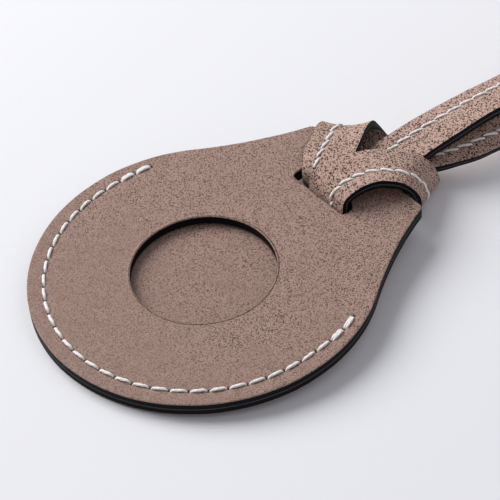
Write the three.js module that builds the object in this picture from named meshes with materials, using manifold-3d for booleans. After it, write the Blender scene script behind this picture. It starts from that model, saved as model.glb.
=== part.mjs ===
// Leather holder for a coin-shaped tracker tag: two sewn panels with a window, and a strap loop
// that is cow-hitched through a slot in both panels.
//
// Frame: millimetres, +Z up. The origin is the centre of the round body on its rear face,
// +Y runs along the tag towards the strap, and the front face looks along +Z.
import * as THREE from "three";
import { mergeVertices } from "three/addons/utils/BufferGeometryUtils.js";
import Module from "manifold-3d";

const wasm = await Module();
wasm.setup();

// ---- driving dimensions ------------------------------------------------------------------------
const BODY_RADIUS = 30;
const WINDOW_RADIUS = 12.5;
const TOP_EDGE_Y = 36.9; // the straight edge that the strap folds over
const TOP_EDGE_HALF = 14.5;
const NECK_RADIUS = 80; // concave flank between the round body and the straight edge
const CORNER_CUT = 0.8;

const LEATHER = 0.75; // outer leather of a panel
const LINING = 0.5; // lining of a panel
const PANEL = LEATHER + LINING;
const TAG_THICKNESS = 2 * PANEL;

// Corners of the slot: place, and how far before and after it the rounding starts.
const SLOT_CORNERS = [
  { x: -7.15, y: 25.6, cut: 1.3 },
  { x: 6.6, y: 25.6, cut: 0.35 },
  { x: 6.6, y: 27.75, cut: 0.5 },
  { x: 3.2, y: 29.8, cut: 0.5 },
  { x: -7.15, y: 29.8, cut: 0.35 },
];

const SEAM_RADIUS = 27.1; // seam that closes the pocket, concentric with the body
const SEAM_LEFT_END = 19; // degrees above the X axis where the seam stops on the left
const SEAM_RIGHT_END = 24; // and on the right
const THREAD_WIDTH = 0.55;
const THREAD_HEIGHT = 0.2;
const GROOVE_DEPTH = 0.25;
const GROOVE_MARGIN = 0.1;

const STRAP_WIDTH = 9;
const STRAP_THICKNESS = 1.7; // two plies
const GLUE_LINE = 0.04; // gap between the two plies
const STRAP_SEAM_INSET = 3.1; // from the strap's P edge to its single line of stitches
const STRAP_THREAD_WIDTH = 0.5;
const STRAP_THREAD_GAP = 0.02;
const STRAP_STEP = 2.2; // longest step along the strap's solids

const BEND_START_Y = 49; // the strap bends between these two lines when the loop is lifted
const BEND_END_Y = 64;

// The strap is a closed loop. Each station gives its two edges, P then Q, at mid thickness.
// The list runs in along the upper leg, down through the ring and out along the lower leg.
const STRAP_ROUTE = [
  // upper leg, coming in to the tag
  [-8.3, 134, -11.4, -8.3, 134, -2.4],
  [-8.2, 120, -10.4, -8.2, 120, -1.4],
  [-7.2, 105, -8.9, -6.4, 105, 0.05],
  [-5.4, 90, -6.0, -1.6, 90, 2.1],
  [-3.0, 80, -1.8, 3.8, 80, 4.2],
  [0.0, 71, 2.7, 8.6, 71, 5.3],
  [-0.3, 66, 3.1, 8.5, 66, 5.0],
  [-1.2, 60, 3.0, 7.7, 60, 4.5],
  [-2.3, 53, 2.35, 6.6, 53, 3.4],
  [-3.5, 48, 1.4, 5.5, 48, 1.8],
  [-4.0, 43.5, 0.55, 5.0, 43.5, 0.7],
  [-4.2, 40, -0.3, 4.8, 40, -0.3],
  [-4.5, 37, -1.12, 4.5, 37, -1.12],
  [-5.3, 33, -1.15, 3.7, 33, -1.15],
  // up through the slot
  [-6.1, 29.9, -1.15, 2.9, 30.1, -1.15],
  [-6.5, 28.6, -0.85, 2.5, 28.95, -0.85],
  [-6.6, 28.15, 0.2, 2.4, 28.8, 0.2],
  [-6.65, 28.15, 2.2, 2.35, 28.8, 2.2],
  [-7.1, 28.6, 3.38, 1.8, 29.3, 3.42],
  // over the front, to the far side of the legs
  [-8.4, 29.5, 3.64, -0.1, 32.5, 3.68],
  [-9.65, 31.6, 3.62, -2.3, 36.3, 3.68],
  [-10.9, 34.0, 3.6, -4.4, 39.5, 3.68],
  [-12.1, 35.75, 3.6, -5.7, 41.8, 3.56],
  [-12.8, 37.83, 2.87, -7.0, 44.4, 2.6],
  [-12.65, 38.9, 1.0, -7.5, 46.35, 0.8],
  // under both legs
  [-11.0, 39.9, -1.6, -6.7, 47.65, -1.5],
  [-8.0, 39.9, -3.55, -4.3, 48.0, -3.4],
  [-3.5, 39.6, -4.73, -1.5, 48.4, -4.3],
  [2.0, 39.6, -4.78, 2.0, 48.6, -4.35],
  [6.6, 39.8, -4.5, 4.4, 48.5, -4.25],
  [9.9, 39.6, -2.45, 6.7, 47.1, -3.05],
  // up the near side and back over the legs
  [11.1, 38.6, 0.7, 6.9, 46.1, -0.15],
  [11.0, 37.5, 3.2, 6.6, 44.8, 2.15],
  [10.25, 35.9, 4.95, 6.1, 43.6, 3.6],
  [9.3, 34.4, 5.7, 4.8, 41.7, 4.65],
  [8.2, 33.0, 5.85, 2.4, 39.5, 5.25],
  [7.4, 31.3, 5.8, 0.1, 36.3, 5.5],
  [6.7, 29.6, 5.5, -1.5, 32.2, 5.5],
  [6.3, 28.25, 4.9, -2.3, 29.1, 5.4],
  [6.15, 27.05, 4.1, -2.7, 27.3, 4.6],
  // down through the slot
  [6.15, 26.68, 2.3, -2.8, 26.68, 2.3],
  [6.15, 26.68, 0.2, -2.8, 26.68, 0.2],
  [6.1, 27.15, -2.1, -2.85, 27.15, -2.1],
  // lower leg, going out from the tag
  [5.95, 29.6, -3.2, -3.0, 29.6, -3.2],
  [6.0, 33, -3.2, -2.95, 33, -3.2],
  [6.0, 36.5, -3.17, -2.95, 36.5, -3.17],
  [5.9, 39.5, -2.78, -3.05, 39.5, -2.78],
  [5.8, 42, -2.2, -3.1, 42, -1.95],
  [5.7, 46, -1.55, -3.1, 46, -0.9],
  [7.4, 50, -1.55, -1.3, 50, -0.05],
  [9.0, 55, -1.8, 0.6, 55, 0.9],
  [9.8, 60, -1.9, 1.8, 60, 1.45],
  [11.2, 66, -2.7, 3.7, 66, 2.0],
  [13.8, 76, -4.6, 7.9, 76, 2.2],
  [18.2, 91, -7.7, 16.0, 91, 1.0],
  [20.3, 106, -9.4, 20.1, 106, -0.4],
  [20.7, 120, -10.4, 20.7, 120, -1.4],
  // round the far end
  [20.3, 134, -11.4, 20.3, 134, -2.4],
  [16.1, 144.1, -12.1, 16.1, 144.1, -3.1],
  [6.0, 148.3, -12.4, 6.0, 148.3, -3.4],
  [-4.1, 144.1, -12.1, -4.1, 144.1, -3.1],
];

// ---- materials ---------------------------------------------------------------------------------
const material = (color, roughness) => new THREE.MeshStandardMaterial({ color, roughness, metalness: 0 });
const TAUPE = 0x9c8478;
const TAUPE_LINING = 0x927b70;
const THREAD_COLOUR = 0xe9e2dc;

// ---- geometry helpers --------------------------------------------------------------------------
const rad = (degrees) => (degrees * Math.PI) / 180;

function positionOnly(geometry) {
  const bare = geometry.clone();
  bare.deleteAttribute("normal");
  bare.deleteAttribute("uv");
  return mergeVertices(bare, 1e-4);
}

function solidOf(geometry) {
  const merged = positionOnly(geometry);
  return new wasm.Manifold(
    new wasm.Mesh({
      numProp: 3,
      vertProperties: new Float32Array(merged.attributes.position.array),
      triVerts: new Uint32Array(merged.index.array),
    }),
  );
}

function geometryOf(solid) {
  const mesh = solid.getMesh();
  const geometry = new THREE.BufferGeometry();
  geometry.setAttribute("position", new THREE.BufferAttribute(new Float32Array(mesh.vertProperties), 3));
  geometry.setIndex(new THREE.BufferAttribute(new Uint32Array(mesh.triVerts), 1));
  geometry.computeVertexNormals();
  return geometry;
}

function slab(shape, low, high) {
  const geometry = new THREE.ExtrudeGeometry(shape, {
    depth: high - low,
    bevelEnabled: false,
    curveSegments: 18,
  });
  geometry.translate(0, 0, low);
  return geometry;
}

// ---- the two panels ----------------------------------------------------------------------------
// Centre of the right flank's arc: it touches the round body from outside and ends at the corner.
function flankCentre() {
  const corner = new THREE.Vector2(TOP_EDGE_HALF, TOP_EDGE_Y);
  const reach = BODY_RADIUS + NECK_RADIUS;
  const away = corner.length();
  const between = Math.acos((reach ** 2 + away ** 2 - NECK_RADIUS ** 2) / (2 * reach * away));
  const angle = Math.atan2(corner.y, corner.x) - between;
  return new THREE.Vector2(reach * Math.cos(angle), reach * Math.sin(angle));
}

function panelOutline() {
  const centre = flankCentre();
  const touch = Math.atan2(centre.y, centre.x);
  const cornerAngle = Math.atan2(TOP_EDGE_Y - CORNER_CUT - centre.y, TOP_EDGE_HALF - centre.x);
  const shape = new THREE.Shape();
  shape.absarc(0, 0, BODY_RADIUS, Math.PI - touch, 2 * Math.PI + touch, false);
  shape.absarc(centre.x, centre.y, NECK_RADIUS, touch + Math.PI, cornerAngle + 2 * Math.PI, true);
  shape.quadraticCurveTo(TOP_EDGE_HALF, TOP_EDGE_Y, TOP_EDGE_HALF - CORNER_CUT, TOP_EDGE_Y);
  shape.lineTo(CORNER_CUT - TOP_EDGE_HALF, TOP_EDGE_Y);
  const mirrored = Math.PI - cornerAngle;
  const left = new THREE.Vector2(
    -centre.x + NECK_RADIUS * Math.cos(mirrored),
    centre.y + NECK_RADIUS * Math.sin(mirrored),
  );
  shape.quadraticCurveTo(-TOP_EDGE_HALF, TOP_EDGE_Y, left.x, left.y);
  shape.absarc(-centre.x, centre.y, NECK_RADIUS, mirrored, -touch, true);
  return shape;
}

function slotHole() {
  const hole = new THREE.Path();
  const count = SLOT_CORNERS.length;
  const towards = (from, to, cut) => {
    const step = new THREE.Vector2(to.x - from.x, to.y - from.y).setLength(cut);
    return [from.x + step.x, from.y + step.y];
  };
  for (let i = 0; i < count; i++) {
    const corner = SLOT_CORNERS[i];
    const before = towards(corner, SLOT_CORNERS[(i + count - 1) % count], corner.cut);
    const after = towards(corner, SLOT_CORNERS[(i + 1) % count], corner.cut);
    if (i === 0) hole.moveTo(...before);
    else hole.lineTo(...before);
    hole.quadraticCurveTo(corner.x, corner.y, ...after);
  }
  hole.closePath();
  return hole;
}

function windowHole() {
  const hole = new THREE.Path();
  hole.absarc(0, 0, WINDOW_RADIUS, 0, 2 * Math.PI, false);
  return hole;
}

function panelLayer(low, high, withWindow) {
  const shape = panelOutline();
  shape.holes.push(slotHole());
  if (withWindow) shape.holes.push(windowHole());
  return slab(shape, low, high);
}

// A band that follows the seam, as wide as the thread plus a margin on each side.
function seamBand(margin, low, high) {
  const outer = SEAM_RADIUS + THREAD_WIDTH / 2 + margin;
  const inner = SEAM_RADIUS - THREAD_WIDTH / 2 - margin;
  const extra = margin / SEAM_RADIUS;
  const from = Math.PI - rad(SEAM_LEFT_END) - extra;
  const to = 2 * Math.PI + rad(SEAM_RIGHT_END) + extra;
  const shape = new THREE.Shape();
  shape.absarc(0, 0, outer, from, to, false);
  shape.absarc(0, 0, inner, to, from, true);
  return slab(shape, low, high);
}

function grooved(layer, low, high) {
  return geometryOf(solidOf(layer).subtract(solidOf(seamBand(GROOVE_MARGIN, low, high))));
}

// ---- the strap ---------------------------------------------------------------------------------
const edgeP = new THREE.CatmullRomCurve3(
  STRAP_ROUTE.map((s) => new THREE.Vector3(s[0], s[1], s[2])),
  true,
  "centripetal",
);
const edgeQ = new THREE.CatmullRomCurve3(
  STRAP_ROUTE.map((s) => new THREE.Vector3(s[3], s[4], s[5])),
  true,
  "centripetal",
);

function middleAt(u) {
  return edgeP.getPoint(u).add(edgeQ.getPoint(u)).multiplyScalar(0.5);
}

// Middle, width direction and face direction of the strap at u, from 0 to 1 round the loop.
function frameAt(u) {
  const du = 1e-4;
  const wrap = (v) => ((v % 1) + 1) % 1;
  const middle = middleAt(wrap(u));
  const across = edgeQ.getPoint(wrap(u)).sub(edgeP.getPoint(wrap(u))).normalize();
  const along = middleAt(wrap(u + du)).sub(middleAt(wrap(u - du)));
  const face = along.cross(across).normalize();
  return { middle, across, face };
}

// Station values of u, in even steps no longer than STRAP_STEP between two neighbouring stations.
function stepsBetween(from, to) {
  const count = STRAP_ROUTE.length;
  const last = to > from ? to : to + 1;
  const knots = [from];
  for (let k = Math.floor(from * count) + 1; k / count < last - 1e-9; k++) knots.push(k / count);
  knots.push(last);
  const steps = [];
  for (let k = 0; k + 1 < knots.length; k++) {
    const length = middleAt(knots[k] % 1).distanceTo(middleAt(knots[k + 1] % 1));
    const pieces = Math.max(1, Math.ceil(length / STRAP_STEP));
    for (let i = 0; i < pieces; i++) steps.push(knots[k] + ((knots[k + 1] - knots[k]) * i) / pieces);
  }
  steps.push(last);
  return steps;
}

// A closed bar along the strap. The section is a list of [across, off the face] points, and the ends
// are closed by a fan from the point numbered fan.
function strapBar(from, to, section, fan) {
  const positions = [];
  const index = [];
  const steps = stepsBetween(from, to);
  const size = section.length;
  for (const u of steps) {
    const { middle, across, face } = frameAt(u);
    for (const [a, f] of section) {
      const corner = middle.clone().addScaledVector(across, a).addScaledVector(face, f);
      positions.push(corner.x, corner.y, corner.z);
    }
  }
  // Every broad side is split along the same diagonal, so that layers on each other don't cross.
  for (let s = 0; s + 1 < steps.length; s++) {
    for (let c = 0; c < size; c++) {
      const next = (c + 1) % size;
      const a = size * s + c;
      const b = size * s + next;
      if (section[next][0] > section[c][0]) index.push(a, b, a + size, b, b + size, a + size);
      else index.push(a, b, b + size, a, b + size, a + size);
    }
  }
  const end = size * (steps.length - 1);
  for (let c = 1; c + 1 < size; c++) {
    const p = (fan + c) % size;
    const q = (fan + c + 1) % size;
    index.push(fan, q, p, end + fan, end + p, end + q);
  }
  const geometry = new THREE.BufferGeometry();
  geometry.setAttribute("position", new THREE.Float32BufferAttribute(positions, 3));
  geometry.setIndex(index);
  geometry.computeVertexNormals();
  return geometry;
}

// Finds u on one leg where the strap's middle crosses the line y.
function crossing(y, low, high) {
  const rising = middleAt(high).y > middleAt(low).y;
  let a = low;
  let b = high;
  for (let i = 0; i < 40; i++) {
    const mid = (a + b) / 2;
    if (middleAt(mid).y < y === rising) a = mid;
    else b = mid;
  }
  return (a + b) / 2;
}

const UPPER_LEG = [1, 12].map((station) => station / STRAP_ROUTE.length);
const LOWER_LEG = [45, 56].map((station) => station / STRAP_ROUTE.length);
const upperOut = crossing(BEND_END_Y, ...UPPER_LEG);
const upperIn = crossing(BEND_START_Y, ...UPPER_LEG);
const lowerIn = crossing(BEND_START_Y, ...LOWER_LEG);
const lowerOut = crossing(BEND_END_Y, ...LOWER_LEG);

const STRAP_STRETCHES = {
  strap_hitch: [upperIn, lowerIn],
  strap_upper_bend: [upperOut, upperIn],
  strap_lower_bend: [lowerIn, lowerOut],
  strap_loop: [lowerOut, upperOut],
};

// Sections of the four layers. The sides that carry a thread have points under the thread's edges.
const half = STRAP_WIDTH / 2;
const skin = STRAP_THICKNESS / 2;
const glue = GLUE_LINE / 2;
const threadLow = STRAP_SEAM_INSET - half - STRAP_THREAD_WIDTH / 2;
const threadHigh = threadLow + STRAP_THREAD_WIDTH;
const threadFoot = skin + STRAP_THREAD_GAP;
const threadTop = threadFoot + THREAD_HEIGHT;
const threadSection = (low, high) => [
  [threadLow, low],
  [threadHigh, low],
  [threadHigh, high],
  [threadLow, high],
];
const STRAP_LAYERS = {
  face_ply: {
    section: [
      [-half, -skin],
      [threadLow, -skin],
      [threadHigh, -skin],
      [half, -skin],
      [half, -glue],
      [-half, -glue],
    ],
    fan: 5,
    look: material(TAUPE, 0.8),
  },
  lining_ply: {
    section: [
      [-half, glue],
      [half, glue],
      [half, skin],
      [threadHigh, skin],
      [threadLow, skin],
      [-half, skin],
    ],
    fan: 0,
    look: material(TAUPE_LINING, 0.8),
  },
  face_thread: {
    section: threadSection(-threadTop, -threadFoot),
    fan: 0,
    look: material(THREAD_COLOUR, 0.7),
  },
  lining_thread: {
    section: threadSection(threadFoot, threadTop),
    fan: 0,
    look: material(THREAD_COLOUR, 0.7),
  },
};

// ---- assembly ----------------------------------------------------------------------------------
const holder = new THREE.Group();

function addPart(name, geometry, look) {
  const mesh = new THREE.Mesh(geometry, look);
  mesh.name = name;
  holder.add(mesh);
}

const rearGroove = [-1, GROOVE_DEPTH];
const frontGroove = [TAG_THICKNESS - GROOVE_DEPTH, TAG_THICKNESS + 1];
const threadInset = GROOVE_DEPTH - THREAD_HEIGHT - 0.02;

addPart("rear_panel_leather", grooved(panelLayer(0, LEATHER, false), ...rearGroove), material(TAUPE, 0.8));
addPart("rear_panel_lining", panelLayer(LEATHER, PANEL, false), material(TAUPE_LINING, 0.8));
addPart("front_panel_lining", panelLayer(PANEL, PANEL + LINING, true), material(TAUPE_LINING, 0.8));
addPart(
  "front_panel_leather",
  grooved(panelLayer(PANEL + LINING, TAG_THICKNESS, true), ...frontGroove),
  material(TAUPE, 0.8),
);
addPart(
  "seam_thread_rear",
  seamBand(0, threadInset, threadInset + THREAD_HEIGHT),
  material(THREAD_COLOUR, 0.7),
);
addPart(
  "seam_thread_front",
  seamBand(0, TAG_THICKNESS - threadInset - THREAD_HEIGHT, TAG_THICKNESS - threadInset),
  material(THREAD_COLOUR, 0.7),
);

for (const [stretch, [from, to]] of Object.entries(STRAP_STRETCHES)) {
  for (const [layer, { section, fan, look }] of Object.entries(STRAP_LAYERS)) {
    addPart(`${stretch}_${layer}`, strapBar(from, to, section, fan), look.clone());
  }
}

export default holder;
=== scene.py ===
"""Looks of a sewn leather holder for a coin-shaped tracker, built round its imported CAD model.

Everything is in metres, in the model's own frame: the origin is the centre of the round body on
its rear face, +Y runs towards the strap and the front face looks along +Z.
"""
import math

import bpy
import numpy as np
from mathutils import Matrix, Vector
from mathutils.geometry import delaunay_2d_cdt


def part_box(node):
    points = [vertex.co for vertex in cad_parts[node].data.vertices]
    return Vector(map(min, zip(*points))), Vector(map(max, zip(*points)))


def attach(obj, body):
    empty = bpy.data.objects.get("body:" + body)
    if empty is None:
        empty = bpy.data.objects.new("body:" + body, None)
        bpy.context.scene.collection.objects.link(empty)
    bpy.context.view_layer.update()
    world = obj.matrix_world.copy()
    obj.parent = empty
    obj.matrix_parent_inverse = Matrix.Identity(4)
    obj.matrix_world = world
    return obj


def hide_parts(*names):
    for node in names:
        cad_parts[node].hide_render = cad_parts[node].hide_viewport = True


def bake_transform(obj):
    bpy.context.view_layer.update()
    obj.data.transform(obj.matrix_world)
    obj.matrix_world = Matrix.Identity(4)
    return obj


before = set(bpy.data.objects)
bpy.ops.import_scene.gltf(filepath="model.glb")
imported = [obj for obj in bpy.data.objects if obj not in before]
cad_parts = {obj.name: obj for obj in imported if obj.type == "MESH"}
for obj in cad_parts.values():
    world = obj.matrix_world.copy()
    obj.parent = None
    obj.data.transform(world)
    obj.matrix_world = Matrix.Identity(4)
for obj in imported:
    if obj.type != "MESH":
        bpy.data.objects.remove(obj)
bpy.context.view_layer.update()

MM = 0.001

# ---- sizes of the two panels -------------------------------------------------------------------
FRONT_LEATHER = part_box("front_panel_leather")
FRONT_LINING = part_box("front_panel_lining")
REAR_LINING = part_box("rear_panel_lining")
REAR_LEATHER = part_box("rear_panel_leather")

BODY_RADIUS = FRONT_LEATHER[1].x
TOP_EDGE_Y = FRONT_LEATHER[1].y
TOP_EDGE_HALF = 14.5 * MM
NECK_RADIUS = 80 * MM
CORNER_CUT = 0.8 * MM
WINDOW_RADIUS = 12.5 * MM
# corners of the slot: x, y, and how far before and after it the rounding starts, in millimetres
SLOT_CORNERS = [
    (-7.15, 25.6, 1.3),
    (6.6, 25.6, 0.35),
    (6.6, 27.75, 0.5),
    (3.2, 29.8, 0.5),
    (-7.15, 29.8, 0.35),
]

SEAM_RADIUS = 27.1 * MM
SEAM_LEFT_END = math.radians(19)
SEAM_RIGHT_END = math.radians(24)
SEAM_STITCHES = 33
SEAM_DRIFT = 0.8 * MM  # how far the seam runs out towards the edge at its two ends
SEAM_THREAD_HALF = 0.28 * MM  # half the width of the thread
BACKTACK_HALF = 0.17 * MM  # half the distance between the two threads of a back-tacked end

CUT_STEP = 0.35 * MM  # spacing of the points along a cut edge
FACE_STEP = 0.8 * MM  # spacing of the points inside a panel's face
CUT_ROUND = 0.22 * MM  # rounding of a panel's outer edges
JOINT_ROUND = 0.12 * MM  # rounding where the two panels meet
PLY_ROUND = 0.02 * MM  # rounding inside a panel, where the layers are glued
PANEL_SAG = 0.9 * MM  # how far the empty rear panel hangs below its rim
SAG_INNER = 15 * MM  # the sag is full inside this radius
SAG_FOOT = 25.5 * MM  # radius where the sag has died out
WINDOW_LIP = 0.5 * MM  # how far the painted edge of the window is pressed down into the pocket; its black edge stands partly for shade inside the pocket
LIP_WIDTH = 0.9 * MM
FACE_RIPPLE = 0.05 * MM  # unevenness of the panels' faces
RIPPLE_LENGTH = 12 * MM
HOLE_RINGS = (0.16 * MM, 0.34 * MM, 0.62 * MM)  # rings of closer points round each needle hole
HOLE_CLEARANCE = 0.95 * MM  # the plain grid of points keeps this far from the needle holes
EDGE_CLEARANCE = 0.75 * MM  # and this far from the outlines
SKIRT_INSET = 0.55 * MM  # one more ring of points runs this far inside every outline

# ---- sizes of the strap ------------------------------------------------------------------------
STRAP_WIDTH = 9 * MM
STRAP_THICKNESS = 1.7 * MM
GLUE_LINE = 0.04 * MM
STRAP_SEAM_INSET = 3.1 * MM
STRAP_STITCH = 2.73 * MM
STRAP_THREAD_HALF = 0.25 * MM
STEPS_PER_STITCH = 8

# The strap's edges P and Q at mid thickness: in along the upper leg, through the hitch, out along
# the lower leg and round the far end.
STRAP_ROUTE = [
    # upper leg, coming in to the tag
    ((-0.0083, 0.134, -0.0114), (-0.0083, 0.134, -0.0024)),
    ((-0.0082, 0.12, -0.0104), (-0.0082, 0.12, -0.0014)),
    ((-0.0072, 0.105, -0.0089), (-0.0064, 0.105, 0.00005)),
    ((-0.0054, 0.09, -0.006), (-0.0016, 0.09, 0.0021)),
    ((-0.003, 0.08, -0.0018), (0.0038, 0.08, 0.0042)),
    ((0, 0.071, 0.0027), (0.0086, 0.071, 0.0053)),
    ((-0.0003, 0.066, 0.0031), (0.0085, 0.066, 0.005)),
    ((-0.0012, 0.06, 0.003), (0.0077, 0.06, 0.0045)),
    ((-0.0023, 0.053, 0.00235), (0.0066, 0.053, 0.0034)),
    ((-0.0035, 0.048, 0.0014), (0.0055, 0.048, 0.0018)),
    ((-0.004, 0.0435, 0.00055), (0.005, 0.0435, 0.0007)),
    ((-0.0042, 0.04, -0.0003), (0.0048, 0.04, -0.0003)),
    ((-0.0045, 0.037, -0.00112), (0.0045, 0.037, -0.00112)),
    ((-0.0053, 0.033, -0.00115), (0.0037, 0.033, -0.00115)),
    # up through the slot
    ((-0.0061, 0.0299, -0.00115), (0.0029, 0.0301, -0.00115)),
    ((-0.0065, 0.0286, -0.00085), (0.0025, 0.02895, -0.00085)),
    ((-0.0066, 0.02815, 0.0002), (0.0024, 0.0288, 0.0002)),
    ((-0.00665, 0.02815, 0.0022), (0.00235, 0.0288, 0.0022)),
    ((-0.0071, 0.0286, 0.00338), (0.0018, 0.0293, 0.00342)),
    # over the front, to the far side of the legs
    ((-0.0084, 0.0295, 0.00364), (-0.0001, 0.0325, 0.00368)),
    ((-0.00965, 0.0316, 0.00362), (-0.0023, 0.0363, 0.00368)),
    ((-0.0109, 0.034, 0.0036), (-0.0044, 0.0395, 0.00368)),
    ((-0.0121, 0.03575, 0.0036), (-0.0057, 0.0418, 0.00356)),
    ((-0.0128, 0.03783, 0.00287), (-0.007, 0.0444, 0.0026)),
    ((-0.01265, 0.0389, 0.001), (-0.0075, 0.04635, 0.0008)),
    # under both legs
    ((-0.011, 0.0399, -0.0016), (-0.0067, 0.04765, -0.0015)),
    ((-0.008, 0.0399, -0.00355), (-0.0043, 0.048, -0.0034)),
    ((-0.0035, 0.0396, -0.00473), (-0.0015, 0.0484, -0.0043)),
    ((0.002, 0.0396, -0.00478), (0.002, 0.0486, -0.00435)),
    ((0.0066, 0.0398, -0.0045), (0.0044, 0.0485, -0.00425)),
    ((0.0099, 0.0396, -0.00245), (0.0067, 0.0471, -0.00305)),
    # up the near side and back over the legs
    ((0.0111, 0.0386, 0.0007), (0.0069, 0.0461, -0.00015)),
    ((0.011, 0.0375, 0.0032), (0.0066, 0.0448, 0.00215)),
    ((0.01025, 0.0359, 0.00495), (0.0061, 0.0436, 0.0036)),
    ((0.0093, 0.0344, 0.0057), (0.0048, 0.0417, 0.00465)),
    ((0.0082, 0.033, 0.00585), (0.0024, 0.0395, 0.00525)),
    ((0.0074, 0.0313, 0.0058), (0.0001, 0.0363, 0.0055)),
    ((0.0067, 0.0296, 0.0055), (-0.0015, 0.0322, 0.0055)),
    ((0.0063, 0.02825, 0.0049), (-0.0023, 0.0291, 0.0054)),
    ((0.00615, 0.02705, 0.0041), (-0.0027, 0.0273, 0.0046)),
    # down through the slot
    ((0.00615, 0.02668, 0.0023), (-0.0028, 0.02668, 0.0023)),
    ((0.00615, 0.02668, 0.0002), (-0.0028, 0.02668, 0.0002)),
    ((0.0061, 0.02715, -0.0021), (-0.00285, 0.02715, -0.0021)),
    # lower leg, going out from the tag
    ((0.00595, 0.0296, -0.0032), (-0.003, 0.0296, -0.0032)),
    ((0.006, 0.033, -0.0032), (-0.00295, 0.033, -0.0032)),
    ((0.006, 0.0365, -0.00317), (-0.00295, 0.0365, -0.00317)),
    ((0.0059, 0.0395, -0.00278), (-0.00305, 0.0395, -0.00278)),
    ((0.0058, 0.042, -0.0022), (-0.0031, 0.042, -0.00195)),
    ((0.0057, 0.046, -0.00155), (-0.0031, 0.046, -0.0009)),
    ((0.0074, 0.05, -0.00155), (-0.0013, 0.05, -0.00005)),
    ((0.009, 0.055, -0.0018), (0.0006, 0.055, 0.0009)),
    ((0.0098, 0.06, -0.0019), (0.0018, 0.06, 0.00145)),
    ((0.0112, 0.066, -0.0027), (0.0037, 0.066, 0.002)),
    ((0.0138, 0.076, -0.0046), (0.0079, 0.076, 0.0022)),
    ((0.0182, 0.091, -0.0077), (0.016, 0.091, 0.001)),
    ((0.0203, 0.106, -0.0094), (0.0201, 0.106, -0.0004)),
    ((0.0207, 0.12, -0.0104), (0.0207, 0.12, -0.0014)),
    # round the far end
    ((0.0203, 0.134, -0.0114), (0.0203, 0.134, -0.0024)),
    ((0.0161, 0.1441, -0.0121), (0.0161, 0.1441, -0.0031)),
    ((0.006, 0.1483, -0.0124), (0.006, 0.1483, -0.0034)),
    ((-0.0041, 0.1441, -0.0121), (-0.0041, 0.1441, -0.0031)),
]

# ---- colours -----------------------------------------------------------------------------------
PANEL_TAUPE = (0.412, 0.280, 0.232)
LINING_TAUPE = (0.402, 0.272, 0.226)
STRAP_TAUPE = (0.560, 0.385, 0.318)
PORE_BROWN = (0.040, 0.020, 0.014)
EDGE_BLACK = (0.004, 0.004, 0.0045)
EDGE_RUBBED = (0.020, 0.020, 0.022)
# grey of the glue line, partly a painted highlight where the rounded edges catch the light
GLUE_GREY_AND_HIGHLIGHT = (0.13, 0.13, 0.14)
THREAD_WHITE = (0.95, 0.93, 0.915)
FLOOR_WHITE = (0.86, 0.86, 0.885)
# painted shade inside the needle holes
HOLE_SHADE_BROWN = (0.012, 0.009, 0.008)
THREAD_SOIL = (0.62, 0.53, 0.49)
FILL_COLOUR = (0.94, 0.96, 1.0)
ROOM_COLOUR = (0.93, 0.94, 1.0)

# pores of the leather: cells per millimetre, size as a part of a cell, and strength
PANEL_PORES = (4.2, 0.47, 0.88)
STRAP_PORES = (3.3, 0.50, 1.0)

DRAWS = np.random.default_rng(7)  # small differences between the stitches


# ---- mesh helpers ------------------------------------------------------------------------------
def make_piece(name, vertices, faces, paint=None, line=None, hole_shade=None):
    """A smooth mesh object. The last three are numbers from 0 to 1 at each vertex: black edge
    paint, the grey glue line that is partly a painted highlight, and painted shade in the needle
    holes.
    """
    mesh = bpy.data.meshes.new(name)
    mesh.from_pydata([tuple(v) for v in vertices], [], [tuple(f) for f in faces])
    mesh.validate()
    rest = mesh.attributes.new("rest", "FLOAT_VECTOR", "POINT")
    rest.data.foreach_set("vector", (np.asarray(vertices, np.float32) / MM).ravel())
    for label, values in (("paint", paint), ("line", line), ("hole_shade", hole_shade)):
        if values is not None:
            layer = mesh.attributes.new(label, "FLOAT", "POINT")
            layer.data.foreach_set("value", np.asarray(values, np.float32))
    mesh.polygons.foreach_set("use_smooth", [True] * len(mesh.polygons))
    mesh.update()
    piece = bpy.data.objects.new(name, mesh)
    bpy.context.scene.collection.objects.link(piece)
    return piece


def smooth_step(low, high, x):
    t = np.clip((x - low) / (high - low), 0, 1)
    return t * t * (3 - 2 * t)


def unit(vectors):
    return vectors / np.linalg.norm(vectors, axis=-1, keepdims=True)


# ---- outlines of the panels --------------------------------------------------------------------
def arc(cx, cy, radius, start, end, count=240):
    angles = np.linspace(start, end, count)
    return np.column_stack((cx + radius * np.cos(angles), cy + radius * np.sin(angles)))


def rounded_corner(a, control, b, count=24):
    t = np.linspace(0, 1, count)[:, None]
    return (1 - t) ** 2 * np.array(a) + 2 * t * (1 - t) * np.array(control) + t**2 * np.array(b)


def resampled(points, step):
    """The closed outline again, with its points evenly spaced and counterclockwise."""
    closed = np.vstack((points, points[:1]))
    lengths = np.linalg.norm(np.diff(closed, axis=0), axis=1)
    keep = np.concatenate(([True], lengths > 1e-9))
    closed, lengths = closed[keep], lengths[lengths > 1e-9]
    along = np.concatenate(([0], np.cumsum(lengths)))
    count = int(round(along[-1] / step))
    at = np.arange(count) * along[-1] / count
    return np.column_stack([np.interp(at, along, closed[:, k]) for k in (0, 1)])


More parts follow.
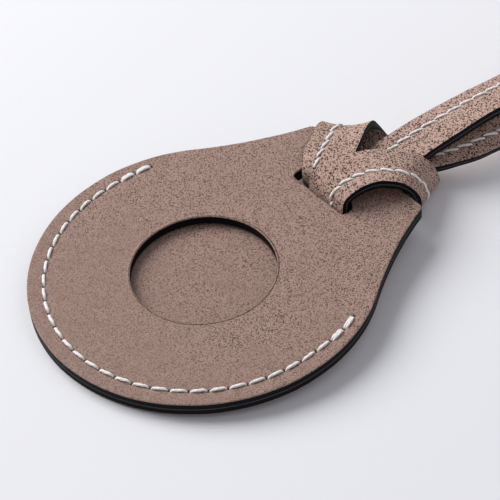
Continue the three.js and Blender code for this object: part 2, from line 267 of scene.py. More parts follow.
def panel_outline():
    reach = BODY_RADIUS + NECK_RADIUS
    away = math.hypot(TOP_EDGE_HALF, TOP_EDGE_Y)
    between = math.acos((reach**2 + away**2 - NECK_RADIUS**2) / (2 * reach * away))
    touch = math.atan2(TOP_EDGE_Y, TOP_EDGE_HALF) - between
    cx = reach * math.cos(touch)
    cy = reach * math.sin(touch)
    corner = math.atan2(TOP_EDGE_Y - CORNER_CUT - cy, TOP_EDGE_HALF - cx) + 2 * math.pi
    body = arc(0, 0, BODY_RADIUS, math.pi - touch, 2 * math.pi + touch, 480)
    flank = arc(cx, cy, NECK_RADIUS, touch + math.pi, corner)
    top = rounded_corner(
        flank[-1], (TOP_EDGE_HALF, TOP_EDGE_Y), (TOP_EDGE_HALF - CORNER_CUT, TOP_EDGE_Y)
    )
    mirror = np.array((-1, 1))
    halves = (body, flank, top, top[::-1] * mirror, flank[::-1] * mirror)
    return resampled(np.vstack(halves), CUT_STEP)


def slot_outline():
    corners = np.array(SLOT_CORNERS) * MM
    turns = []
    neighbours = (np.roll(corners, 1, axis=0), corners, np.roll(corners, -1, axis=0))
    for before, corner, after in zip(*neighbours):
        back, on = (unit((p - corner)[None, :2])[0] * corner[2] for p in (before, after))
        turns.append(rounded_corner(corner[:2] + back, corner[:2], corner[:2] + on))
    return resampled(np.vstack(turns), CUT_STEP * 0.7)


def window_outline():
    return resampled(arc(0, 0, WINDOW_RADIUS, 0, 2 * math.pi, 400)[:-1], CUT_STEP)


def outward(loop):
    """Unit normals of a counterclockwise outline, pointing out of it."""
    along = np.roll(loop, -1, axis=0) - np.roll(loop, 1, axis=0)
    return unit(np.column_stack((along[:, 1], -along[:, 0])))


def inside(points, loop):
    """Which of the points lie inside the outline, by the even-odd rule."""
    x, y = points[:, 0][:, None], points[:, 1][:, None]
    x1, y1 = loop[:, 0], loop[:, 1]
    x2, y2 = np.roll(x1, -1), np.roll(y1, -1)
    straddles = (y1 > y) != (y2 > y)
    with np.errstate(divide="ignore", invalid="ignore"):
        crossing = x1 + (y - y1) * (x2 - x1) / (y2 - y1)
    return np.sum(straddles & (x < crossing), axis=1) % 2 == 1


# ---- the pocket seam ---------------------------------------------------------------------------
def from_bottom(angle):
    """How far an angle is from the lowest point of the body, either way round."""
    return np.abs(np.mod(angle + math.pi / 2 + math.pi, 2 * math.pi) - math.pi)


def seam_radius(angle):
    """The seam drifts out towards the edge near its two ends."""
    drift = smooth_step(math.pi / 2, math.radians(114), from_bottom(angle))
    return SEAM_RADIUS + SEAM_DRIFT * drift


def seam_holes():
    """The needle holes of the pocket seam, from its left end round the bottom to its right end."""
    start = math.pi - SEAM_LEFT_END
    end = 2 * math.pi + SEAM_RIGHT_END
    angles = np.linspace(start, end, SEAM_STITCHES + 1)
    radius = seam_radius(angles)
    return np.column_stack((radius * np.cos(angles), radius * np.sin(angles)))


SEAM_HOLES = seam_holes()
HOLE_WIDTH = 0.34 * MM
HOLE_DEPTH = 0.30 * MM
PUCKER_WIDTH = 0.8 * MM
PUCKER_DEPTH = 0.10 * MM


def seam_dent(xy):
    """How deep the seam pulls the leather in, and how much painted shade darkens the needle holes,
    at each point.
    """
    away = np.linalg.norm(xy[:, None] - SEAM_HOLES[None], axis=2).min(axis=1)
    holes = np.exp(-((away / HOLE_WIDTH) ** 2))
    radius = np.linalg.norm(xy, axis=1)
    angle = np.arctan2(xy[:, 1], xy[:, 0])
    seam_end = np.where(xy[:, 0] < 0, SEAM_LEFT_END, SEAM_RIGHT_END)
    on_seam = smooth_step(-0.03, 0.0, math.pi / 2 + seam_end - from_bottom(angle))
    line = np.exp(-(((radius - seam_radius(angle)) / PUCKER_WIDTH) ** 2)) * on_seam
    return HOLE_DEPTH * holes + PUCKER_DEPTH * line, holes


def panel_sag(xy):
    """How far the rear panel hangs down inside the pocket seam."""
    radius = np.linalg.norm(xy, axis=1)
    return PANEL_SAG * (1 - smooth_step(SAG_INNER, SAG_FOOT, radius))


def window_lip(xy):
    """How far the front panel's lining is pressed down at the rim of the window."""
    off_rim = np.linalg.norm(xy, axis=1) - WINDOW_RADIUS
    return WINDOW_LIP * np.exp(-((off_rim / LIP_WIDTH) ** 2))


def ripples(xy, size, wave):
    """Slow, shallow unevenness of a leather face."""
    x, y = xy[:, 0] / wave, xy[:, 1] / wave
    total = np.sin(x * 5.1 + 1.3 * np.sin(y * 3.7)) + np.sin(y * 6.3 + 1.7 * np.sin(x * 2.9 + 1))
    total += 0.6 * np.sin((x + y) * 8.3 + 0.7) + 0.5 * np.sin((x - 1.6 * y) * 7.1 + 2.1)
    return size * total / 3.1


# ---- panels ------------------------------------------------------------------------------------
class Face:
    """The flat triangulated shape of a panel: its outlines first, then the points inside."""

    def __init__(self, with_window):
        self.loops = [panel_outline(), slot_outline()]
        if with_window:
            self.loops.append(window_outline())
        # material lies inside the first outline and outside the others
        signs = [1.0] + [-1.0] * (len(self.loops) - 1)
        self.normals = np.vstack([s * outward(l) for s, l in zip(signs, self.loops)])
        self.border = np.vstack(self.loops)
        points = np.vstack((self.border, self._fill()))
        edges = []
        first = 0
        self.starts = []
        for loop in self.loops:
            self.starts.append(first)
            edges += [(first + i, first + (i + 1) % len(loop)) for i in range(len(loop))]
            first += len(loop)
        made = delaunay_2d_cdt([Vector(p) for p in points], edges, [], 2, 1e-8)
        self.points = np.array([tuple(v) for v in made[0]])
        triangles = np.array([tuple(f) for f in made[2]])
        a, b, c = (self.points[triangles[:, k]] for k in range(3))
        area = (b[:, 0] - a[:, 0]) * (c[:, 1] - a[:, 1]) - (b[:, 1] - a[:, 1]) * (c[:, 0] - a[:, 0])
        triangles[area < 0] = triangles[area < 0][:, ::-1]
        centres = self.points[triangles].mean(axis=1)
        solid = inside(centres, self.loops[0])
        for loop in self.loops[1:]:
            solid &= ~inside(centres, loop)
        self.triangles = triangles[solid]

    def _fill(self):
        low, high = self.border.min(axis=0), self.border.max(axis=0)
        rows = np.arange(low[1], high[1], FACE_STEP * math.sqrt(3) / 2)
        grid = []
        for k, y in enumerate(rows):
            xs = np.arange(low[0] + (k % 2) * FACE_STEP / 2, high[0], FACE_STEP)
            grid.append(np.column_stack((xs, np.full(len(xs), y))))
        grid = np.vstack(grid)
        turns = np.linspace(0, 2 * math.pi, 9)[:-1]
        rings = [np.zeros((1, 2))]
        for radius in HOLE_RINGS:
            rings.append(radius * np.column_stack((np.cos(turns), np.sin(turns))))
        near_holes = (SEAM_HOLES[:, None] + np.vstack(rings)[None]).reshape(-1, 2)
        away = np.linalg.norm(grid[:, None] - SEAM_HOLES[None], axis=2).min(axis=1)
        grid = grid[away > HOLE_CLEARANCE]
        gap = np.linalg.norm(grid[:, None] - self.border[None], axis=2).min(axis=1)
        keep = (gap > EDGE_CLEARANCE) & inside(grid, self.loops[0])
        for loop in self.loops[1:]:
            keep &= ~inside(grid, loop)
        skirt = self.border - SKIRT_INSET * self.normals
        return np.vstack((grid[keep], near_holes, skirt))


def quarter(radius, height, rises):
    """Insets and heights of a rounded edge: from the face down to the side, or back again."""
    turns = np.linspace(0, math.pi / 2, 5)
    inset = radius * (1 - np.sin(turns))
    depth = radius * (1 - np.cos(turns))
    steps = [(i, height - d) for i, d in zip(inset, depth)]
    if rises:
        steps = [(i, height + d) for i, d in zip(inset, depth)][::-1]
    return steps


def panel_layer(name, face, box, rounds, outer_face, sagging, joint):
    """One layer of a panel: both faces and painted cut edges.

    rounds are the roundings at the top and the bottom. outer_face is 1 where the seam dents the
    top, -1 where it dents the bottom and 0 for a lining, which is painted from face to face. joint
    is where the layer meets the other panel: 1 at its top, -1 at its bottom, 0 nowhere.
    """
    low, high = box[0].z, box[1].z
    top_round, low_round = rounds
    profile = quarter(top_round, high, False) + quarter(low_round, low, True)
    border = len(face.border)
    flat = face.points.copy()
    dent, holes = seam_dent(flat)
    wavy = ripples(flat, FACE_RIPPLE, RIPPLE_LENGTH)
    shift = wavy - (panel_sag(flat) if sagging else 0)
    # the pressed-down lip lengthens the black painted window edge, partly as painted shade of the
    # pocket below the rim
    lip = window_lip(flat) if joint == -1 else np.zeros(len(flat))
    pieces, paint, line, hole_shade = [], [], [], []
    for k, (inset, z) in enumerate(profile):
        ring = face.border - inset * face.normals
        height = z + shift[:border] - (lip[:border] if 2 * k >= len(profile) else 0)
        pieces.append(np.column_stack((ring, height)))
        down = k / (len(profile) - 1)
        is_painted = {1: down > 0.4, -1: down < 0.6, 0: True}[outer_face]
        # where the panels meet, the grey glue line is drawn: partly glue, partly a painted
        # highlight of the rounded edges
        at_joint = {1: k < 4, -1: k > len(profile) - 5, 0: False}[joint]
        paint.append(np.full(border, float(is_painted)))
        line.append(np.full(border, float(at_joint)))
        hole_shade.append(np.zeros(border))
    top_inner = flat[border:]
    count = len(top_inner)
    top_z = high + shift[border:] - (dent[border:] if outer_face == 1 else 0)
    low_z = low + shift[border:] - lip[border:] + (dent[border:] if outer_face == -1 else 0)
    pieces.append(np.column_stack((top_inner, top_z)))
    pieces.append(np.column_stack((top_inner, low_z)))
    for side in (1, -1):
        paint.append(np.zeros(count))
        line.append(np.zeros(count))
        hole_shade.append(holes[border:] if outer_face == side else np.zeros(count))
    rings = len(profile)
    top_index = np.concatenate((np.arange(border), rings * border + np.arange(count)))
    low_index = np.concatenate(
        ((rings - 1) * border + np.arange(border), rings * border + count + np.arange(count))
    )
    faces = [tuple(t) for t in top_index[face.triangles]]
    faces += [tuple(t[::-1]) for t in low_index[face.triangles]]
    for loop, start in zip(face.loops, face.starts):
        size = len(loop)
        for k in range(rings - 1):
            for i in range(size):
                a = k * border + start + i
                b = k * border + start + (i + 1) % size
                faces.append((a, a + border, b + border, b))
    marks = (np.concatenate(values) for values in (paint, line, hole_shade))
    return make_piece(name, np.vstack(pieces), faces, *marks)


# ---- thread ------------------------------------------------------------------------------------
def thread_tube(path, up, half_width, half_height, turns, phase):
    """A closed, tapered length of three-ply thread along a path. Returns vertices and faces."""
    sides = 12
    count = len(path)
    tangent = unit(np.gradient(path, axis=0))
    side = unit(np.cross(tangent, up))
    lift = np.cross(side, tangent)
    t = np.linspace(0, 1, count)
    taper = 0.55 + 0.45 * (1 - np.abs(2 * t - 1) ** 3)
    angle = np.linspace(0, 2 * math.pi, sides, endpoint=False)
    ply = 1 + 0.11 * np.cos(3 * angle[None] - 2 * math.pi * 3 * turns * t[:, None] + phase)
    size = taper[:, None] * ply
    rings = (
        path[:, None]
        + side[:, None] * (half_width * size * np.cos(angle))[:, :, None]
        + lift[:, None] * (half_height * size * np.sin(angle))[:, :, None]
    )
    vertices = np.vstack((rings.reshape(-1, 3), path[:1], path[-1:]))
    faces = []
    for k in range(count - 1):
        for i in range(sides):
            a = k * sides + i
            b = k * sides + (i + 1) % sides
            faces.append((a, b, b + sides, a + sides))
    first, last = count * sides, count * sides + 1
    for i in range(sides):
        j = (i + 1) % sides
        faces.append((first, j, i))
        faces.append((last, (count - 1) * sides + i, (count - 1) * sides + j))
    return vertices, faces


class Stitching:
    """Gathers many thread tubes into one piece."""

    def __init__(self):
        self.vertices = []
        self.faces = []
        self.count = 0

    def add(self, tube):
        vertices, faces = tube
        self.faces += [tuple(i + self.count for i in f) for f in faces]
        self.vertices.append(vertices)
        self.count += len(vertices)

    def piece(self, name):
        return make_piece(name, np.vstack(self.vertices), self.faces)


STITCH_POINTS = 17


def stitch_height(t, rise, dive):
    """Height of a stitch's middle line above the leather, from hole to hole."""
    return rise - dive * np.abs(2 * t - 1) ** 5


def seam_stitches(name, z_face, facing):
    """The stitches of the pocket seam on the front (facing 1) or the rear (facing -1)."""
    sewing = Stitching()
    up = np.array((0, 0, facing), float)
    t = np.linspace(0, 1, STITCH_POINTS)[:, None]
    last = len(SEAM_HOLES) - 2
    for k in range(last + 1):
        a, b = SEAM_HOLES[k], SEAM_HOLES[k + 1]
        out = unit((a + b)[None])[0]
        # the back-tacked ends carry a second thread beside the first
        sides = (-BACKTACK_HALF, BACKTACK_HALF) if k < 2 or k > last - 2 else (0.0,)
        for offset in sides:
            lean = (0.07 + 0.04 * DRAWS.random()) * MM
            shift = offset + lean * (1 - 2 * t)
            curve = 0.10 * MM * np.sin(math.pi * t)
            xy = a + (b - a) * (0.06 + 0.88 * t) + out * (shift + curve)
            z = stitch_height(t[:, 0], (0.13 + 0.04 * DRAWS.random()) * MM, 0.62 * MM)
            path = np.column_stack((xy, z_face + facing * z))
            path[:, 2] -= panel_sag(xy) if facing < 0 else 0
            width = SEAM_THREAD_HALF * (0.95 + 0.1 * DRAWS.random())
            phase = 6.3 * DRAWS.random()
            ups = np.tile(up, (len(path), 1))
            sewing.add(thread_tube(path, ups, width, width * 0.8, 0.8, phase))
    return sewing.piece(name)


# ---- the strap ---------------------------------------------------------------------------------
def closed_curve(points, u):
    """Points of a closed centripetal Catmull-Rom curve, for each u from 0 to 1."""
    points = np.asarray(points, float)
    count = len(points)
    at = np.mod(u, 1.0) * count
    index = np.floor(at).astype(int) % count
    w = (at - np.floor(at))[:, None]
    p0, p1, p2, p3 = (points[(index + k) % count] for k in (-1, 0, 1, 2))

    def knot(a, b):
        return np.sqrt(np.linalg.norm(b - a, axis=1))[:, None]

    d0, d1, d2 = knot(p0, p1), knot(p1, p2), knot(p2, p3)
    slope1 = ((p1 - p0) / d0 - (p2 - p0) / (d0 + d1) + (p2 - p1) / d1) * d1
    slope2 = ((p2 - p1) / d1 - (p3 - p1) / (d1 + d2) + (p3 - p2) / d2) * d1
    square = -3 * p1 + 3 * p2 - 2 * slope1 - slope2
    cube = 2 * p1 - 2 * p2 + slope1 + slope2
    return p1 + slope1 * w + square * w**2 + cube * w**3


class Ribbon:
    """The strap's middle line with its width and face directions, by length along the strap."""

    def __init__(self, route):
        u = np.linspace(0, 1, 6001)
        p = closed_curve([r[0] for r in route], u)
        q = closed_curve([r[1] for r in route], u)
        middle = (p + q) / 2
        lengths = np.linalg.norm(np.diff(middle, axis=0), axis=1)
        self.along = np.concatenate(([0], np.cumsum(lengths)))
        self.length = self.along[-1]
        self.u = u
        self.middle = middle
        self.across = unit(q - p)
        tangent = np.roll(middle[:-1], -1, axis=0) - np.roll(middle[:-1], 1, axis=0)
        tangent = np.vstack((tangent, tangent[:1]))
        self.face = unit(np.cross(tangent, self.across))
        self.count = len(route)

    def station(self, s):
        """Place along the route list, in stations, of the length s."""
        return np.interp(np.mod(s, self.length), self.along, self.u) * self.count

    def at(self, s, a, f):
        """Points at length s, a across from the middle and f off the middle along the face."""
        s = np.mod(s, self.length)

        def read(table):
            return np.column_stack([np.interp(s, self.along, table[:, k]) for k in range(3)])

        return read(self.middle) + read(self.across) * a[:, None] + read(self.face) * f[:, None]

    def normal(self, s):
        s = np.mod(s, self.length)
        return unit(np.column_stack([np.interp(s, self.along, self.face[:, k]) for k in range(3)]))


RIBBON = Ribbon(STRAP_ROUTE)
STRAP_HOLES = int(round(RIBBON.length / STRAP_STITCH))
STRAP_PITCH = RIBBON.length / STRAP_HOLES
HALF_WIDTH = STRAP_WIDTH / 2
SKIN = STRAP_THICKNESS / 2
SEAM_LINE = STRAP_SEAM_INSET - HALF_WIDTH


def ply_section():
    """Half of the strap's section as rows (across, off the face, paint, line), closed on itself.
    line marks the grey glue line, which is partly a painted highlight of the rounded edges.
    """
    outer_round, glue_round = 0.20 * MM, 0.11 * MM
    near = SEAM_LINE + np.linspace(-1, 1, 13) * 0.9 * MM
    rim = HALF_WIDTH - outer_round
    flat = np.concatenate((np.linspace(-rim, near[0], 4)[:-1], near))
    flat = np.concatenate((flat, np.linspace(near[-1], rim, 14)[1:]))
    rows = [(a, SKIN, 0.0, 0.0) for a in flat]
    glue = GLUE_LINE / 2
    corner = []
    for turn in np.linspace(0, math.pi / 2, 5)[1:]:
        a = HALF_WIDTH - outer_round * (1 - math.sin(turn))
        f = SKIN - outer_round * (1 - math.cos(turn))
        corner.append((a, f, 1.0 if turn > 0.6 else 0.0, 0.0))
    corner.append((HALF_WIDTH, (SKIN + glue) / 2, 1.0, 0.0))
    # the glue rounding carries the grey glue line, partly a painted highlight of the rounded edges
    for turn in np.linspace(math.pi / 2, 0, 5):
        a = HALF_WIDTH - glue_round * (1 - math.sin(turn))
        f = glue + glue_round * (1 - math.cos(turn))
        corner.append((a, f, 1.0, 1.0 if turn < 1.3 else 0.0))
    rows += corner
    rows += [(a, glue, 0.0, 0.0) for a in np.linspace(HALF_WIDTH * 0.9, -HALF_WIDTH * 0.9, 7)]
    rows += [(-a, f, painted, line) for a, f, painted, line in corner[::-1]]
    return np.array(rows)


# hollow of the strap's section: station along the route, and depth in millimetres
CUP = [(0, 0.0), (19.5, 0.0), (22, 0.75), (24, 0.9), (26, 0.0), (61, 0.0)]


def strap_cup(s, a):
    """Shallow trough of the strap's section where it is pulled over an edge."""
    stations, depths = zip(*CUP)
    depth = np.interp(RIBBON.station(s), stations, np.array(depths) * MM)
    return depth * (1 - (a / HALF_WIDTH) ** 2)


STRAP_HOLE_WIDTH = 0.26 * MM
STRAP_HOLE_DEPTH = 0.16 * MM
STRAP_PUCKER_WIDTH = 0.55 * MM
STRAP_PUCKER_DEPTH = 0.09 * MM


def strap_dent(s, a):
    """How deep the strap's seam pulls the ply in, and how much painted shade darkens its needle
    holes.
    """
    off_line = a - SEAM_LINE
    off_hole = (np.mod(s / STRAP_PITCH + 0.5, 1.0) - 0.5) * STRAP_PITCH
    holes = np.exp(-((off_line**2 + off_hole**2) / STRAP_HOLE_WIDTH**2))
    line = np.exp(-((off_line / STRAP_PUCKER_WIDTH) ** 2))
    return STRAP_HOLE_DEPTH * holes + STRAP_PUCKER_DEPTH * line, holes


def strap_ply(name, side):
    """One ply as a closed band. side is -1 for the face ply and 1 for the lining ply."""
    section = ply_section()
    steps = STRAP_HOLES * STEPS_PER_STITCH
    s = np.arange(steps) * RIBBON.length / steps
    size = len(section)
    long_s = np.repeat(s, size)
    a = np.tile(section[:, 0], steps)
    f = np.tile(section[:, 1], steps)
    paint = np.tile(section[:, 2], steps)
    line = np.tile(section[:, 3], steps)
    outer = f > SKIN - 0.01 * MM
    dent, holes = strap_dent(long_s, a)
    f = f - np.where(outer, dent, 0)
    edge = np.abs(a) / HALF_WIDTH
    wobble = 0.05 * MM * (np.sin(long_s / (3.1 * MM)) + np.sin(long_s / (1.7 * MM) + 2))
    a = a + wobble * smooth_step(0.8, 1.0, edge) * np.sign(a)
    vertices = RIBBON.at(long_s, a, side * f + strap_cup(long_s, a))
    faces = []
    for k in range(steps):
        n = (k + 1) % steps
        for i in range(size):
            j = (i + 1) % size
            quad = (k * size + i, n * size + i, n * size + j, k * size + j)
            faces.append(quad if side > 0 else quad[::-1])
    return make_piece(name, vertices, faces, paint, line, np.where(outer, holes, 0))


def strap_stitches(name, side):
    sewing = Stitching()
    t = np.linspace(0, 1, STITCH_POINTS)
    for k in range(STRAP_HOLES):
        s = (k - 0.03 + 1.06 * t) * STRAP_PITCH
        lean = side * (0.28 + 0.08 * DRAWS.random()) * MM
        a = SEAM_LINE + lean * (1 - 2 * t)
        rise = (0.10 + 0.03 * DRAWS.random()) * MM
        f = side * (SKIN - 0.04 * MM + stitch_height(t, rise, 0.45 * MM))
        path = RIBBON.at(s, a, f + strap_cup(s, a))
        width = STRAP_THREAD_HALF * (0.94 + 0.12 * DRAWS.random())
        phase = 6.3 * DRAWS.random()
        sewing.add(thread_tube(path, side * RIBBON.normal(s), width, width * 0.85, 0.8, phase))
    return sewing.piece(name)


# ---- materials ---------------------------------------------------------------------------------
class Nodes:
    """Short calls for building a node tree."""

    def __init__(self, name):
        self.material = bpy.data.materials.new(name)
        self.material.use_nodes = True
        self.tree = self.material.node_tree
        self.shader = self.tree.nodes["Principled BSDF"]

    def add(self, kind, **settings):
        node = self.tree.nodes.new(kind)
        for key, value in settings.items():
            setattr(node, key, value)
        return node

    def join(self, source, target):
        self.tree.links.new(source, target)

    def put(self, value, socket):
        if isinstance(value, bpy.types.NodeSocket):
            self.join(value, socket)
        else:
            socket.default_value = value

    def attribute(self, name, output):
        return self.add("ShaderNodeAttribute", attribute_name=name).outputs[output]

    def noise(self, vector, scale, detail=2.0, roughness=0.5, distortion=0.0):
        node = self.add("ShaderNodeTexNoise")
        self.join(vector, node.inputs["Vector"])
        node.inputs["Scale"].default_value = scale
        node.inputs["Detail"].default_value = detail
        node.inputs["Roughness"].default_value = roughness
        node.inputs["Distortion"].default_value = distortion
        return node.outputs["Fac"]

    def ramp(self, value, low, high, to_low=0.0, to_high=1.0):
        node = self.add("ShaderNodeMapRange", interpolation_type="SMOOTHSTEP")
        items = (value, low, high, to_low, to_high)
        for name, item in zip(("Value", "From Min", "From Max", "To Min", "To Max"), items):
            self.put(item, node.inputs[name])
        return node.outputs["Result"]

    def math(self, operation, a, b=0.0):
        node = self.add("ShaderNodeMath", operation=operation)
        self.put(a, node.inputs[0])
        self.put(b, node.inputs[1])
        return node.outputs[0]

    def mix(self, factor, a, b):
        """Colour a where factor is 0 and colour b where it is 1."""
        node = self.add("ShaderNodeMix", data_type="RGBA")
        self.put(factor, node.inputs[0])
        for value, socket in ((a, node.inputs[6]), (b, node.inputs[7])):
            self.put(value if isinstance(value, bpy.types.NodeSocket) else (*value, 1.0), socket)
        return node.outputs[2]

    def bump(self, height, strength, distance, normal=None):
        node = self.add("ShaderNodeBump")
        node.inputs["Strength"].default_value = strength
        node.inputs["Distance"].default_value = distance
        self.join(height, node.inputs["Height"])
        if normal is not None:
            self.join(normal, node.inputs["Normal"])
        return node.outputs["Normal"]


def darker(colour, share):
    return tuple(c * share for c in colour)


def pore_spots(n, rest, scale, size, share):
    """Dark pores as 1 on 0, with scale in cells per millimetre and size as a part of a cell.

    share is the part of all cells that hold a pore.
    """
    warp = n.add("ShaderNodeVectorMath", operation="MULTIPLY_ADD")
    wobble = n.add("ShaderNodeTexNoise")
    n.join(rest, wobble.inputs["Vector"])
    wobble.inputs["Scale"].default_value = scale * 1.7
    n.join(wobble.outputs["Color"], warp.inputs[0])
    warp.inputs[1].default_value = (0.10 / scale,) * 3
    n.join(rest, warp.inputs[2])
    cells = n.add("ShaderNodeTexVoronoi", feature="F1")
    n.join(warp.outputs[0], cells.inputs["Vector"])
    cells.inputs["Scale"].default_value = scale
    drawn = n.add("ShaderNodeSeparateColor")
    n.join(cells.outputs["Color"], drawn.inputs[0])
    reach = n.ramp(drawn.outputs[1], 0.0, 1.0, size * 0.65, size * 1.25)
    inner = n.math("SUBTRACT", reach, 0.10)
    spot = n.ramp(cells.outputs["Distance"], inner, reach, 1.0, 0.0)
    return n.math("MULTIPLY", spot, n.math("LESS_THAN", drawn.outputs[0], share))


def leather_material(name, base, pore_scale, pore_size, pore_strength):
    """Matt nubuck with dark pores, black paint on the cut edges and grey along the glue line, which
    is partly glue and partly a painted highlight where the rounded edges catch the light.
    """
    n = Nodes(name)
    rest = n.attribute("rest", "Vector")
    clouds = n.noise(rest, 0.09, 3.0, 0.55)
    patches = n.noise(rest, 0.45, 3.0, 0.6)
    grain = n.noise(rest, 6.5, 2.0, 0.65)
    # painted shade: the leather is drawn a little darker towards the bottom of the round body,
    # where the light falls weaker; it is also smoother there
    split = n.add("ShaderNodeSeparateXYZ")
    n.join(rest, split.inputs[0])
    upward = n.math("ADD", split.outputs["Y"], n.ramp(clouds, 0.3, 0.7, -12.0, 12.0))
    tone = n.mix(n.ramp(upward, -26.0, 26.0), darker(base, 0.89), darker(base, 1.15))
    tone = n.mix(n.ramp(patches, 0.35, 0.7, 0.0, 0.5), tone, darker(base, 1.16))
    tone = n.mix(n.ramp(grain, 0.36, 0.66, 0.0, 0.6), tone, darker(base, 0.68))
    large = pore_spots(n, rest, pore_scale, pore_size, 0.72)
    small = pore_spots(n, rest, pore_scale * 1.9, pore_size, 0.55)
    spots = n.math("MAXIMUM", large, n.math("MULTIPLY", small, 0.7))
    by_patch = n.ramp(patches, 0.3, 0.7, 0.8, 1.0)
    uneven = n.math("MULTIPLY", by_patch, n.ramp(upward, -24.0, 20.0, 0.6, 1.1))
    strength = n.math("MULTIPLY", n.math("MULTIPLY", spots, pore_strength), uneven)
    leather = n.mix(strength, tone, PORE_BROWN)
    # painted shade: the needle holes are darkened to near black
    hole_shade = n.attribute("hole_shade", "Fac")
    leather = n.mix(n.ramp(hole_shade, 0.25, 0.75, 0.0, 0.92), leather, HOLE_SHADE_BROWN)
    rub = n.noise(rest, 9.0, 3.0, 0.7)
    paint = n.mix(n.ramp(rub, 0.5, 0.8), EDGE_BLACK, EDGE_RUBBED)
    # grey along the glue line: partly glue, partly a painted highlight where the rounded edges
    # catch the light
    line = n.math("MULTIPLY", n.attribute("line", "Fac"), n.ramp(rub, 0.3, 0.6, 0.35, 0.9))
    paint = n.mix(line, paint, GLUE_GREY_AND_HIGHLIGHT)
    edge = n.math("ADD", n.attribute("paint", "Fac"), n.ramp(patches, 0.3, 0.7, -0.08, 0.08))
    painted = n.ramp(edge, 0.42, 0.58)
    n.join(n.mix(painted, leather, paint), n.shader.inputs["Base Color"])
    n.join(n.ramp(painted, 0.0, 1.0, 0.88, 0.62), n.shader.inputs["Roughness"])
    pits = n.math("SUBTRACT", n.math("MULTIPLY", grain, 0.5), spots)
    normal = n.bump(pits, 0.5, 0.04 * MM)
    n.join(n.bump(patches, 0.5, 0.10 * MM, normal), n.shader.inputs["Normal"])
    n.shader.inputs["Specular IOR Level"].default_value = 0.10
    return n.material


def thread_material():
    n = Nodes("thread")
    rest = n.attribute("rest", "Vector")
    fibre = n.noise(rest, 7.0, 3.0, 0.65)
    soil = n.noise(rest, 0.6, 2.0, 0.5)
    colour = n.mix(n.ramp(fibre, 0.3, 0.7), darker(THREAD_WHITE, 0.90), THREAD_WHITE)
    colour = n.mix(n.ramp(soil, 0.5, 0.8, 0.0, 0.15), colour, THREAD_SOIL)
    n.join(colour, n.shader.inputs["Base Color"])
    n.shader.inputs["Roughness"].default_value = 0.62
    n.shader.inputs["Sheen Weight"].default_value = 0.8
    n.join(n.bump(fibre, 0.35, 0.03 * MM), n.shader.inputs["Normal"])
    return n.material


def floor_material():
    n = Nodes("paper")
    place = n.add("ShaderNodeTexCoord").outputs["Object"]
    weave = n.noise(place, 900.0, 2.0, 0.5)
    n.join(n.mix(weave, darker(FLOOR_WHITE, 0.985), FLOOR_WHITE), n.shader.inputs["Base Color"])
    n.shader.inputs["Roughness"].default_value = 0.85
    n.shader.inputs["Specular IOR Level"].default_value = 0.2
    return n.material


# ---- studio ------------------------------------------------------------------------------------
CAMERA_TARGET = Vector((2.08, 8.50, 2.50)) * MM
CAMERA_BACK = Vector((0.5757, -0.4046, 0.7105)).normalized()
CAMERA_DISTANCE = 339.67 * MM
CAMERA_ROLL = math.radians(-6.0793)
CAMERA_LENS = 144.0

FLOOR_SLOPE = 0.0697  # the tag leans on its near edge and on the strap
FLOOR_TOUCH_Y = -30 * MM
FLOOR_GAP = 0.05 * MM
FLOOR_REACH = 3.0
LIGHT_AIM = Vector((0, 20 * MM, 0))
ROOM_STRENGTH = 0.32


def add_camera():
    right = Vector((-CAMERA_BACK.y, CAMERA_BACK.x, 0)).normalized()
    up = CAMERA_BACK.cross(right)
    x = right * math.cos(CAMERA_ROLL) + up * math.sin(CAMERA_ROLL)
    y = up * math.cos(CAMERA_ROLL) - right * math.sin(CAMERA_ROLL)
    data = bpy.data.cameras.new("camera")
    data.lens = CAMERA_LENS
    data.sensor_width = 36.0
    data.clip_start = 10 * MM
    camera = bpy.data.objects.new("camera", data)
    place = CAMERA_TARGET + CAMERA_BACK * CAMERA_DISTANCE
    turned = Matrix((x, y, CAMERA_BACK)).transposed().to_4x4()
    camera.matrix_world = Matrix.Translation(place) @ turned
    bpy.context.scene.collection.objects.link(camera)
    bpy.context.scene.camera = camera


def floor_height(y):
    return -FLOOR_SLOPE * (y - FLOOR_TOUCH_Y) - FLOOR_GAP


def add_floor():
    reach = FLOOR_REACH
    square = ((-reach, -reach), (reach, -reach), (reach, reach), (-reach, reach))
    corners = [(x, y, floor_height(y)) for x, y in square]
    mesh = bpy.data.meshes.new("floor")
    mesh.from_pydata(corners, [], [(0, 1, 2, 3)])
    floor = bpy.data.objects.new("floor", mesh)
    bpy.context.scene.collection.objects.link(floor)
    floor.data.materials.append(floor_material())


def add_softbox(name, direction, distance, size, power, colour=(1, 1, 1)):
    data = bpy.data.lights.new(name, "AREA")
    data.shape = "DISK"
    data.size = size
    data.energy = power
    data.color = colour
    light = bpy.data.objects.new(name, data)
    away = Vector(direction).normalized()
    light.location = LIGHT_AIM + away * distance
    light.rotation_mode = "QUATERNION"
    light.rotation_quaternion = away.to_track_quat("Z", "Y")
    bpy.context.scene.collection.objects.link(light)


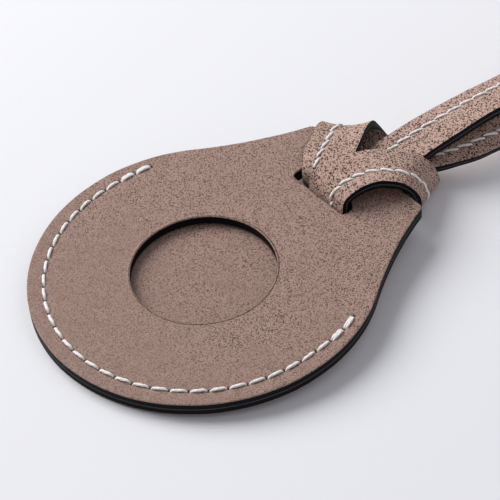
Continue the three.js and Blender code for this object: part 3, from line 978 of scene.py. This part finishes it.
def add_studio():
    add_camera()
    add_floor()
    add_softbox("key", direction=(-1.05, -0.20, 1.0), distance=0.9, size=0.80, power=9.0)
    add_softbox(
        "fill", direction=(0.5, 0.9, 1.4), distance=1.2, size=1.2, power=1.3, colour=FILL_COLOUR
    )
    world = bpy.data.worlds.new("studio")
    world.use_nodes = True
    background = world.node_tree.nodes["Background"]
    background.inputs["Color"].default_value = (*ROOM_COLOUR, 1.0)
    background.inputs["Strength"].default_value = ROOM_STRENGTH
    bpy.context.scene.world = world
    bpy.context.scene.view_settings.view_transform = "Standard"


# ---- the pieces --------------------------------------------------------------------------------
def add_panels():
    panel = leather_material("panel_leather", PANEL_TAUPE, *PANEL_PORES)
    lining = leather_material("panel_lining", LINING_TAUPE, *PANEL_PORES)
    plain, windowed = Face(False), Face(True)
    cut, glued, meeting = CUT_ROUND, PLY_ROUND, JOINT_ROUND
    # node, face, box, roundings, outer face, sagging, joint
    layers = [
        ("front_panel_leather", windowed, FRONT_LEATHER, (cut, glued), 1, False, 0),
        ("front_panel_lining", windowed, FRONT_LINING, (glued, meeting), 0, False, -1),
        ("rear_panel_lining", plain, REAR_LINING, (meeting, glued), 0, True, 1),
        ("rear_panel_leather", plain, REAR_LEATHER, (glued, cut), -1, True, 0),
    ]
    for node, *shape in layers:
        piece = panel_layer(f"{node}_sewn", *shape)
        piece.data.materials.append(lining if "lining" in node else panel)
        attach(piece, "tag")
        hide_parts(node)


def add_seam(thread):
    for node, z, facing in (
        ("seam_thread_front", FRONT_LEATHER[1].z, 1),
        ("seam_thread_rear", REAR_LEATHER[0].z, -1),
    ):
        piece = seam_stitches(f"{node}_stitches", z, facing)
        piece.data.materials.append(thread)
        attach(piece, "tag")
        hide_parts(node)


STRETCHES = ("strap_hitch", "strap_upper_bend", "strap_lower_bend", "strap_loop")


def add_strap(thread):
    strap = leather_material("strap_leather", STRAP_TAUPE, *STRAP_PORES)
    for layer, side in (("face", -1), ("lining", 1)):
        for kind, build, material, slot in (
            ("ply", strap_ply, strap, "strap_leather"),
            ("thread", strap_stitches, thread, "thread"),
        ):
            piece = build(f"strap_{layer}_{kind}_whole", side)
            piece.data.materials.append(material)
            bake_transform(piece)
            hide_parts(*(f"{stretch}_{layer}_{kind}" for stretch in STRETCHES))


add_studio()
add_panels()
THREAD = thread_material()
add_seam(THREAD)
add_strap(THREAD)

bpy.context.view_layer.update()
